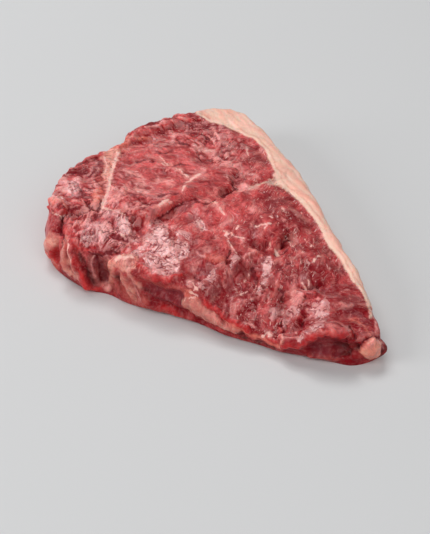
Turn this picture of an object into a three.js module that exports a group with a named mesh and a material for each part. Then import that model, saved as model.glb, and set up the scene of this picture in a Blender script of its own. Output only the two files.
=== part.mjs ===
// A raw rump steak lying on its lower cut face, in millimetres, +Z up. It is one solid.
// +X runs from the blunt end to the tapered tip, and the cap of fat is along the +Y side.
// The origin is on the resting face, under the middle of the bounding box.
import * as THREE from "three";

// ---- Driving sizes -------------------------------------------------------------------------
// Stations round the widest outline, anticlockwise seen from above:
// [x, y, how far the upper edge is rounded over inwards, how far the foot is tucked in],
// where a foot that spreads outwards has a tuck below zero
const STATIONS = [
  [98, -7, 4, 0], // tip
  [94, -0.5, 4, -3.5],
  [87, 3, 4, -2.5],
  [75.5, 10.5, 4, 3],
  [60, 18.5, 4, 4],
  [45.5, 24.5, 4, 4],
  [29.5, 32, 4, 4],
  [15, 40, 4, 4], // fat cap
  [-1, 48, 4, 4],
  [-18, 55, 4, 4],
  [-38, 62, 4, 4],
  [-60, 69.5, 4, 4],
  [-78, 71.5, 4, 4],
  [-89, 64, 4, 4], // far corner
  [-95, 46, 4, 4],
  [-98, 29, 4, 4],
  [-98, 17, 4, 4],
  [-93, 6, 4, 4], // blunt end
  [-91, -14, 4, 4],
  [-86, -32, 4, 2],
  [-75, -49, 4, 0],
  [-62, -60.5, 6, 0], // left corner
  [-50, -67.5, 8, 0],
  [-34, -70, 8, 1],
  [-21, -68, 6, 1],
  [-15, -63, 5, 0], // notch between the two front lobes
  [-2, -61.5, 5, 1],
  [18, -53, 5, 2],
  [32, -48, 4.5, 2],
  [45, -46, 4.5, 4],
  [57, -40.5, 4.5, 4],
  [68, -36.5, 4.5, 4], // lip that overhangs the foot
  [78, -31, 4, 4],
  [87, -24, 4, 1],
  [95, -18, 4, 0],
];
const CORNERS = [0, 13, 20.4]; // the steak's three corners, counted in stations
const NORMAL_REACH = 0.012; // share of the way round over which the outward direction is taken

// Heights of the upper face: [x, y, z]
const LEVELS = [
  [96, -1, 9], // tip
  [95, -14, 13],
  [86, -22, 16],
  [87, 2, 13],
  [74, 9, 15],
  [58, 15, 18],
  [34, 26, 20],
  [4, 40, 21],
  [-26, 54, 22],
  [-66, 65, 22],
  [-85, 57, 22], // far corner
  [-92, 27, 22],
  [-90, -3, 22],
  [-80, -38, 23],
  [-60, -57, 23], // left corner
  [-36, -61, 22],
  [-14, -57, 20],
  [8, -53, 20],
  [28, -45, 19],
  [40, -43, 12],
  [56, -39, 8.5],
  [68, -35, 7.5], // lip
  [78, -27, 15],
  [68, -11, 17],
  [46, -23, 18],
  [44, 1, 21],
  [18, -27, 23],
  [14, 9, 24],
  [-16, -35, 24],
  [-20, 1, 25],
  [-24, 29, 24],
  [-52, -21, 24],
  [-56, 15, 24],
  [-60, 43, 23],
];
const LEVEL_REACH = 8; // how far a level spreads before its neighbours take over
const WALL_MIDDLE = 0.5; // where the wall stands widest, as a share of its height

// Folds of the meat: [how far the surface moves, how far it reaches either side, its run].
// A crease moves inwards, below zero, and a ridge outwards. A run is a list of [x, y, z].
const FOLDS = [
  // Upper face
  [-4, 3.5, [[-15, -56, 21], [-17, -46, 23], [-22, -34, 24], [-20, -26, 24], [-22, -15, 24]]], // main groove
  [-2.2, 3, [[-21, -10, 24], [-20, 0, 25], [-17, 16, 24]]], // main groove, far end
  [2, 4, [[-29, -32, 24], [-28, -18, 24], [-30, -5, 25]]], // lip beside the main groove
  [-1, 2.5, [[-16, 17, 24], [-13, 27, 24], [-11, 37, 23]]], // seam from the groove to the fat
  [-1.5, 3, [[-88, -2, 22], [-79, -12, 22], [-66, -22, 24], [-56, -30, 24], [-47, -39, 23]]], // far seam
  [-1.2, 3, [[-49, -49, 23], [-48, -44, 23], [-46, -40, 23]]], // seam to the left cleft
  [-1.5, 3, [[-1, -19, 23], [7, -12, 23], [15, -10, 22], [31, -11, 20]]], // middle seam
  [-2.5, 3, [[-79, -5, 22], [-84, 6, 22], [-83, 20, 22], [-82, 37, 22], [-76, 43, 22]]], // far crease
  [1.5, 4, [[-92, 14, 21], [-92, 28, 21], [-89, 43, 22]]], // far lip
  [-2, 3, [[-63, 36, 23], [-55, 34, 23], [-48, 24, 24], [-42, 23, 24]]], // crease in the far muscle
  [-1.5, 3, [[-30, 25, 24], [-24, 24, 24], [-18, 19, 24]]], // crease by the groove's far end
  [-1.5, 3, [[-5, 35, 22], [9, 31, 21], [25, 25, 20], [40, 18, 20], [60, 11, 17]]], // along the fat
  [-1, 3, [[-81, 48, 22], [-70, 57, 22], [-52, 55, 22], [-29, 46, 22], [-12, 36, 23]]], // along the fat
  [-2, 5, [[32, 0, 21], [30, 6, 21]]], // hollow in the front muscle
  [-1.5, 5, [[36, -22, 18], [28, -20, 20]]], // hollow nearer the lip
  [-2, 3, [[67, -33, 8], [61, -27, 12], [57, -19, 16]]], // crease to the lip
  [1.2, 4, [[34, -10, 20], [39, -18, 18], [46, -28, 17]]], // ridge to the lip
  [-2.5, 3.5, [[70, -30, 10], [73, -26, 14], [71, -21, 15]]], // hollow beside the tip's lip
  [1.5, 4, [[58, -13, 17], [70, -11, 16], [81, 1, 13]]], // ridge across the tip
  [2.5, 4, [[71, -34, 9], [79, -28, 13], [84, -24, 15], [91, -19, 14]]], // lip of the tip
  // Front and left wall
  [-2.5, 4, [[-50, -56, 22], [-47, -62, 19], [-44, -67, 13], [-45, -68, 4]]], // left cleft
  [2, 6, [[-66, -57, 5], [-60, -63, 5], [-53, -67, 5]]], // bulge at the foot of the left corner
  [1.5, 3, [[-41, -68, 18], [-37, -70, 11], [-32, -70, 4]]], // pale strip
  [2, 2.5, [[-34, -67, 19], [-28, -69, 13], [-24, -68, 3]]], // red fold
  [-3.5, 4, [[-25, -66, 17], [-19, -65, 12], [-17, -64, 5]]], // recess under the edge
  [-3, 3.5, [[-14, -62, 13], [-14, -62, 5]]], // notch between the two front lobes
  [1.5, 2.5, [[-11, -62, 15], [-9, -62, 8], [-6, -62, 2]]], // pleat
  [-1.5, 2.5, [[-7, -61, 13], [-3, -61, 7]]], // gap between the pleats
  [1.5, 2.5, [[-3, -61, 16], [4, -60, 8], [13, -56, 3]]], // pleat
  [-1.5, 4, [[8, -58, 11], [17, -54, 11], [24, -51, 9]]], // hollow under the edge
  [1.5, 3, [[24, -50, 10], [32, -48, 8], [46, -45, 5]]], // flap of fat
  [-1.5, 2.5, [[26, -49, 14], [34, -48, 12], [48, -45, 8]]], // gap above the flap
  [-3.5, 3.5, [[90, -22, 7], [93, -19, 10], [89, -14, 13]]], // pocket in the tip
  [1.2, 5, [[98, -13, 6], [99, -8, 6]]], // nub of fat on the tip
  // Blunt end and the wall of fat
  [-2, 3, [[-92, 5, 20], [-94, 5, 11], [-93, 2, 3]]], // end of the far seam
  [1.2, 4, [[-98, 20, 14], [-97, 34, 9], [-94, 46, 13]]], // fold
  [-1.2, 3, [[-98, 14, 9], [-97, 28, 4]]], // crease under it
  [-1, 3, [[-92, -10, 13], [-89, -22, 9], [-84, -33, 4]]], // crease
  [1.2, 5, [[-90, -16, 6], [-85, -28, 6]]], // fold under it
  [-0.8, 5, [[-36, 66, 9], [0, 53, 9], [34, 35, 8]]], // hollow along the fat
  [-1.2, 3, [[52, 26, 15], [58, 23, 8], [57, 22, 3]]], // dent in the fat
];
const FOOT_REACH = 4; // the folds die out over this height above the resting face

// Low waves all over: [height, wavelength, turn of the wave's direction]
const LUMPS = [
  [0.35, 17, 0.4],
  [0.3, 11, 2.1],
  [0.2, 7.5, 1.2],
];

const SIDE = 64; // steps along the outline from one corner to the next
const WALL_ROWS = 10;
const SPREADING_ROUNDS = 400; // how long the upper face's points are spread evenly

const mix = (a, b, share) => a + (b - a) * share;

// ---- Upper face ----------------------------------------------------------------------------
// Height of the upper face: a mean of the levels, weighted by nearness.
function level(x, y) {
  let [sum, weights] = [0, 0];
  for (const [px, py, z] of LEVELS) {
    const weight = ((x - px) ** 2 + (y - py) ** 2 + LEVEL_REACH ** 2) ** -2;
    sum += weight * z;
    weights += weight;
  }
  return sum / weights;
}

// ---- Outline -------------------------------------------------------------------------------
const closedCurve = (points) => new THREE.CatmullRomCurve3(points, true, "centripetal");

const outline = closedCurve(STATIONS.map(([x, y]) => new THREE.Vector3(x, y, 0)));
const edge = closedCurve(STATIONS.map(([, , shoulder, tuck]) => new THREE.Vector3(shoulder, tuck, 0)));
outline.arcLengthDivisions = 2000;

// One place on the outline: u runs from 0 to 1 once round it.
function placeAt(u) {
  const { x, y } = outline.getPoint(u);
  const { x: shoulder, y: tuck } = edge.getPoint(u);
  const before = outline.getPoint((u + 1 - NORMAL_REACH) % 1);
  const after = outline.getPoint((u + NORMAL_REACH) % 1);
  const outwards = new THREE.Vector2(after.y - before.y, before.x - after.x).normalize();
  const height = level(x - outwards.x * shoulder, y - outwards.y * shoulder);
  return { x, y, outwards, shoulder, tuck, height };
}

// Places round the outline: SIDE even steps from each corner to the next.
function placesRound() {
  const lengths = outline.getLengths();
  const steps = lengths.length - 1;
  const lengthAt = (station) => lengths[Math.round((station / STATIONS.length) * steps)];
  const ends = [...CORNERS.map(lengthAt), lengths[steps]];
  return CORNERS.flatMap((_, side) =>
    Array.from({ length: SIDE }, (_, i) => {
      const distance = mix(ends[side], ends[side + 1], i / SIDE);
      return placeAt(outline.getUtoTmapping(0, distance));
    }),
  );
}

// ---- Section of the edge -------------------------------------------------------------------
// t runs from 0 at the inner end of the shoulder to 1 at the foot.
function sectionPoint({ x, y, outwards, shoulder, tuck, height }, t) {
  const turn = t * Math.PI;
  const upper = turn < Math.PI / 2;
  const middle = height * WALL_MIDDLE;
  const inset = upper
    ? shoulder * (1 - Math.sin(turn) ** (shoulder / 6))
    : tuck * (1 - Math.sin(turn) ** 0.7);
  const z = upper
    ? middle + (height - middle) * Math.cos(turn) ** 0.6
    : middle * (1 - Math.abs(Math.cos(turn)) ** 0.8);
  return new THREE.Vector3(x - outwards.x * inset, y - outwards.y * inset, z);
}

// ---- Grid of the upper face ----------------------------------------------------------------
// The grid is a triangle: row r has r + 1 points. Row 0 is the first corner, and the last row
// runs from the second corner to the third.
const cell = (row, column) => (row * (row + 1)) / 2 + column;

// Cells along the grid's edge, in the outline's order.
const edgeCells = [
  ...Array.from({ length: SIDE }, (_, i) => cell(i, 0)),
  ...Array.from({ length: SIDE }, (_, i) => cell(SIDE, i)),
  ...Array.from({ length: SIDE }, (_, i) => cell(SIDE - i, SIDE - i)),
];

const inside = [];
for (let row = 2; row < SIDE; row += 1) {
  for (let column = 1; column < row; column += 1) inside.push([row, column]);
}

const around = (row, column) => [
  cell(row - 1, column - 1),
  cell(row - 1, column),
  cell(row, column - 1),
  cell(row, column + 1),
  cell(row + 1, column),
  cell(row + 1, column + 1),
];

// Fixes the edge to the rim and spreads the points inside it: each moves to the mean of the
// points around it, and the farther ones weigh more.
function upperFace(rim) {
  const grid = [];
  edgeCells.forEach((at, i) => {
    grid[at] = rim[i];
  });
  const [first, second, third] = [cell(0, 0), cell(SIDE, 0), cell(SIDE, SIDE)].map((at) => grid[at]);
  for (const [row, column] of inside) {
    const far = new THREE.Vector3().lerpVectors(second, third, column / row);
    grid[cell(row, column)] = new THREE.Vector3().lerpVectors(first, far, row / SIDE);
  }
  for (let round = 0; round < SPREADING_ROUNDS; round += 1) {
    for (const [row, column] of inside) {
      const point = grid[cell(row, column)];
      const mean = new THREE.Vector3();
      let weights = 0;
      for (const at of around(row, column)) {
        const weight = point.distanceTo(grid[at]);
        mean.addScaledVector(grid[at], weight);
        weights += weight;
      }
      point.copy(mean.divideScalar(weights));
    }
  }
  for (const [row, column] of inside) {
    const point = grid[cell(row, column)];
    point.z = level(point.x, point.y);
  }
  return grid;
}

function upperTriangles() {
  const triangles = [];
  for (let row = 0; row < SIDE; row += 1) {
    for (let column = 0; column <= row; column += 1) {
      triangles.push(cell(row, column), cell(row + 1, column), cell(row + 1, column + 1));
      if (column < row) {
        triangles.push(cell(row, column), cell(row + 1, column + 1), cell(row, column + 1));
      }
    }
  }
  return triangles;
}

// ---- Wall and resting face -----------------------------------------------------------------
function wallTriangles(upper, lower) {
  return upper.flatMap((_, i) => {
    const next = (i + 1) % upper.length;
    return [upper[i], lower[i], lower[next], upper[i], lower[next], upper[next]];
  });
}

function footTriangles(points, ring) {
  const contour = ring.map((at) => new THREE.Vector2(points[at].x, points[at].y));
  const faces = THREE.ShapeUtils.triangulateShape(contour, []);
  return faces.flatMap(([a, b, c]) => [ring[a], ring[c], ring[b]]);
}

function closedSurface() {
  const places = placesRound();
  const row = (t) => places.map((place) => sectionPoint(place, t));
  const points = upperFace(row(0));
  const triangles = upperTriangles();
  let ring = edgeCells;
  for (let step = 1; step <= WALL_ROWS; step += 1) {
    const lower = places.map((_, i) => points.length + i);
    points.push(...row(step / WALL_ROWS));
    triangles.push(...wallTriangles(ring, lower));
    ring = lower;
  }
  triangles.push(...footTriangles(points, ring));
  const geometry = new THREE.BufferGeometry().setFromPoints(points);
  return geometry.setIndex(triangles);
}

// ---- Relief --------------------------------------------------------------------------------
const foldLines = FOLDS.map(([move, reach, run]) => {
  const points = run.map((at) => new THREE.Vector3(...at));
  const lines = points.slice(1).map((end, i) => new THREE.Line3(points[i], end));
  return { move, reach, lines };
});

function folds(point) {
  const nearest = new THREE.Vector3();
  return foldLines.reduce((sum, { move, reach, lines }) => {
    const distances = lines.map((line) =>
      line.closestPointToPoint(point, true, nearest).distanceTo(point),
    );
    return sum + move * Math.exp(-((Math.min(...distances) / reach) ** 2));
  }, 0);
}

function lumps({ x, y, z }) {
  return LUMPS.reduce((sum, [height, wavelength, turn]) => {
    const step = (2 * Math.PI) / wavelength;
    const along = step * (x * Math.cos(turn) + y * Math.sin(turn));
    const across = step * (y * Math.cos(turn) - x * Math.sin(turn) + z);
    return sum + height * Math.sin(along + Math.sin(across * 0.6)) * Math.cos(across);
  }, 0);
}

// Moves each point along its normal. The resting face stays flat.
function carve(geometry) {
  geometry.computeVertexNormals();
  const { position, normal } = geometry.attributes;
  for (let i = 0; i < position.count; i += 1) {
    const point = new THREE.Vector3().fromBufferAttribute(position, i);
    const outwards = new THREE.Vector3().fromBufferAttribute(normal, i);
    const share = THREE.MathUtils.smoothstep(point.z, 0, FOOT_REACH);
    point.addScaledVector(outwards, share * (folds(point) + lumps(point)));
    position.setXYZ(i, point.x, point.y, Math.max(point.z, 0));
  }
  geometry.deleteAttribute("normal");
  geometry.computeBoundingBox();
  const { min, max } = geometry.boundingBox;
  return geometry.translate(-(min.x + max.x) / 2, -(min.y + max.y) / 2, 0);
}

const steak = new THREE.Mesh(
  carve(closedSurface()),
  new THREE.MeshStandardMaterial({ color: 0x9c3a3f, roughness: 0.4, metalness: 0 }),
);
steak.name = "steak";

const part = new THREE.Group();
part.add(steak);
export default part;
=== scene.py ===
"""A raw rump steak on a pale floor. Its skin is made fine enough for grain, creases and marbling,
coloured by region, and lit softly from behind. Sizes are in millimetres until a mesh is written.
What the photograph shows on the steak is placed by pixels of its 430 x 534 frame."""
import math

import bmesh
import bpy
import numpy as np
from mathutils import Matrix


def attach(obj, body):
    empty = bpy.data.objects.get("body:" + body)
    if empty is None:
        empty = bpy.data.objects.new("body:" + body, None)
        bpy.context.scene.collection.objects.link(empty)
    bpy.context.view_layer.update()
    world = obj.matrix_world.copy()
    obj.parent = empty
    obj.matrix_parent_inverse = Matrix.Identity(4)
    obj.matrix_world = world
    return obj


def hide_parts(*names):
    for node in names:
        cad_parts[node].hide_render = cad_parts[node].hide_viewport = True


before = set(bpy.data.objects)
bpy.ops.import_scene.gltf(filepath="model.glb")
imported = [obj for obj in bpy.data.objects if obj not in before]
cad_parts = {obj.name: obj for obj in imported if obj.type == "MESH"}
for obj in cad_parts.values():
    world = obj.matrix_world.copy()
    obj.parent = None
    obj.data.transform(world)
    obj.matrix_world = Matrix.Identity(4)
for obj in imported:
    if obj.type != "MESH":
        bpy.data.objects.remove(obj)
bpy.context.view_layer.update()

MM = 0.001

# ---- Camera ----
PICTURE = (430, 534)  # pixels
CAMERA_PLACE = (459.9, -410.74, 399.5)
CAMERA_DOWN = 33.3  # degrees below level
CAMERA_TURN = 49.1  # degrees from +Y towards -X
CAMERA_LENS = 106.8
CAMERA_SENSOR = 36  # on the long side

# ---- Colours, as they show on screen from 0 to 255 ----
# Also painted shade in hollows, dips, creases and wrinkles
DEEP_RED = (116, 0, 18)
MEAT_DARK = (138, 14, 26)
MEAT_PALE = (226, 92, 92)
# Tops of the ropes: partly paler fibre, partly painted light
STRAND = (255, 192, 188)
# A wet film's colour, paler as a painted sheen of reflected light
FILM_AND_SHEEN = (226, 160, 157)
FILM_CRACK = (140, 0, 26)
CREAM = (255, 204, 192)
# Painted shade for crevices
CREVICE_SHADE = (104, 4, 20)
FAT_CREAM = (240, 202, 182)
FAT_PINK = (246, 184, 166)
TISSUE = (196, 78, 76)
FAT_LINE = (206, 126, 106)
# Pale flecks: partly fat, partly painted glints of light
FLECK_AND_GLINT = (255, 206, 198)
MARBLE = (244, 160, 152)
FLOOR_COLOUR = (210, 211, 212)

# What each kind of mark does: colour, how much of it, how many millimetres it stands out, how glossy
# it is, and how many pixels its edge takes to fade
KINDS = {
    # The deep red of hollows and dips is painted shade, and the slight paleness of lumps painted light
    "hollow": (DEEP_RED, 0.25, -1.8, 0.1, 8.0),
    "lump": (MEAT_PALE, 0.1, 1.5, 0.4, 7.0),
    "dip": (DEEP_RED, 0.3, -1.1, 0.2, 5.0),
    "blush": (MARBLE, 0.55, 0, 0.4, 4.0),
    "taupe": ((158, 92, 88), 0.75, 0, 0.3, 4.0),
    # The mauve is partly the brownish membrane of the walls, partly painted shade in the groove and the
    # recesses
    "mauve": ((130, 46, 54), 0.85, 0, 0.3, 3.0),
    "rust": ((184, 84, 78), 0.8, 0, 0.3, 3.0),
    # The wine red is mostly painted shade in gaps, folds and troughs and under the lobes
    "wine": ((146, 10, 28), 0.8, -0.4, 0.4, 2.6),
    # Painted shade in crevices, in the groove and round the nub
    "dark": (CREVICE_SHADE, 0.3, -0.8, 0.0, 3.0),
    # The brown is painted shade under overhangs and in the recesses of the walls
    "brown": ((92, 34, 34), 0.85, -0.7, 0.0, 3.0),
    "red": ((212, 48, 48), 0.75, 0.5, 0.5, 3.0),
    "salmon": ((228, 112, 98), 0.7, 0.15, 0.4, 3.0),
    # The orange is partly the tissue of the seams, partly painted light on the lit rims of the walls
    "orange": ((248, 142, 122), 0.75, 0.3, 0.4, 2.4),
    "beige": ((232, 158, 142), 0.8, 0.4, 0.4, 2.4),
    # The nub's pink is painted paler than its own, as light on it
    "nub": ((255, 168, 146), 1.0, 1.4, 0.5, 3.0),
    "pink": ((252, 176, 170), 0.7, 0.1, 0.5, 2.2),
    "peach": ((255, 184, 166), 0.8, 0.2, 0.3, 2.0),
    # Paler lobes with a gloss: partly their own paler tone, partly a painted sheen of reflected light
    "haze": ((232, 160, 162), 0.7, 0, 0.6, 6.0),
    # A wet film, painted paler as a sheen of reflected light
    "sheen": (FILM_AND_SHEEN, 0.2, 0, 1.0, 5.0),
    "suet": (FAT_CREAM, 1.0, 0.2, 0.3, 2.0),
    "cream": (CREAM, 0.3, 0.15, 0.3, 3.0),
}

# ---- How the meat is from place to place: pixel, ropes, cracks, flecks, paleness ----
PATCHES = [
    (75, 190, 1.0, 0.4, 0.5, 0.88), (58, 200, 0.9, 0.2, 0.4, 0.50), (80, 222, 1.0, 0.4, 0.4, 0.66),
    (100, 225, 1.0, 0.5, 0.3, 0.80), (125, 228, 1.0, 0.5, 0.3, 0.84), (140, 210, 0.9, 0.1, 0.5, 0.30),
    (92, 167, 0.8, 0.0, 0.4, 0.15), (135, 150, 0.5, 0.0, 0.5, 0.32), (160, 135, 0.8, 0.0, 0.6, 0.34),
    (150, 175, 0.3, 0.0, 0.5, 0.7), (175, 160, 0.3, 0.0, 0.5, 0.65), (135, 193, 0.7, 0.0, 0.8, 0.40),
    (76, 212, 1.0, 0.2, 0.3, 0.35), (205, 140, 0.9, 0.0, 0.7, 0.42), (225, 155, 1.0, 0.0, 0.8, 0.48),
    (210, 185, 0.15, 0.0, 0.3, 0.4), (245, 160, 0.5, 0.0, 0.9, 0.38), (260, 170, 0.4, 0.0, 0.8, 0.48),
    (160, 245, 0.5, 1.0, 0.2, 0.60), (185, 225, 0.3, 0.3, 0.6, 0.50), (215, 210, 0.2, 0.0, 0.6, 0.65),
    (245, 200, 0.2, 0.0, 0.7, 0.55), (270, 200, 0.4, 0.0, 1.0, 0.25), (300, 230, 0.3, 0.0, 0.9, 0.20),
    (265, 232, 0.2, 0.0, 0.3, 0.26), (220, 245, 0.4, 0.1, 0.5, 0.40), (200, 262, 0.4, 0.3, 0.4, 0.28),
    (240, 280, 0.7, 0.2, 1.0, 0.16), (225, 300, 0.6, 0.1, 0.5, 0.16), (255, 310, 0.9, 0.3, 1.0, 0.12),
    (285, 275, 0.8, 0.1, 1.0, 0.14), (275, 310, 0.9, 0.3, 1.0, 0.22), (310, 265, 0.5, 0.0, 0.9, 0.18),
    (330, 275, 0.4, 0.0, 0.7, 0.14), (300, 295, 0.9, 0.3, 0.5, 0.36), (320, 310, 0.7, 0.8, 0.3, 0.50),
    (345, 300, 0.3, 0.1, 0.3, 0.20), (345, 320, 0.4, 0.1, 0.3, 0.15), (160, 300, 0.2, 0.0, 0.1, 0.12),
    (95, 270, 0.3, 0.0, 0.1, 0.12), (60, 230, 0.3, 0.0, 0.1, 0.30), (325, 350, 0.2, 0.0, 0.1, 0.10),
]
PATCH_REACH = 9  # pixels

# ---- Muscles: outline in pixels, the way the grain runs seen from above, how drawn out it is ----
MUSCLES = [
    ([(0, 0), (430, 0), (430, 534), (0, 534)], (-0.55, 0.83), 2.0),
    ([(285, 290), (330, 284), (372, 285), (400, 380), (285, 380)], (0.7, 0.7), 2.2),
    ([(104, 100), (300, 100), (285, 178), (262, 183), (240, 190), (205, 203), (185, 203), (160, 218),
      (140, 208), (124, 196), (110, 182), (112, 160), (122, 148)], (0.86, 0.55), 1.4),
    ([(200, 100), (300, 100), (285, 178), (250, 188), (238, 165), (205, 150)], (-0.35, 0.93), 1.8),
    ([(20, 130), (118, 140), (110, 165), (108, 190), (102, 206), (85, 212), (60, 215), (62, 260),
      (20, 300)], (0.55, 0.83), 2.4),
    ([(60, 215), (85, 212), (102, 208), (124, 212), (134, 230), (134, 252), (110, 300), (60, 300)],
     (-0.5, 0.87), 3.0),
]

# ---- The inner edge of the cap of fat, in pixels ----
FAT_EDGE = [
    (196, 114), (206, 121), (213, 123), (220, 124), (231, 129), (242, 134), (252, 138), (260, 145),
    (265, 151), (269, 160), (273, 168), (276, 175), (276, 180), (283, 187), (290, 193), (296, 199),
    (303, 205), (309, 212), (315, 221), (321, 231), (325, 240), (329, 248), (336, 254), (342, 262),
    (345, 270), (350, 278), (355, 285), (360, 291), (365, 299), (368, 306),
]
FAT_RUN = (0.97, -0.24)  # the way the cap runs, seen from above
# How the cap's outline closes round the hidden side, in millimetres from the ends of that edge
FAT_BEHIND = 60  # ahead of the far end
FAT_BESIDE = 40  # to the right of the near end
FAT_PAST = 20  # ahead of the near end
FAT_REACH = 200  # ahead of both

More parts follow.
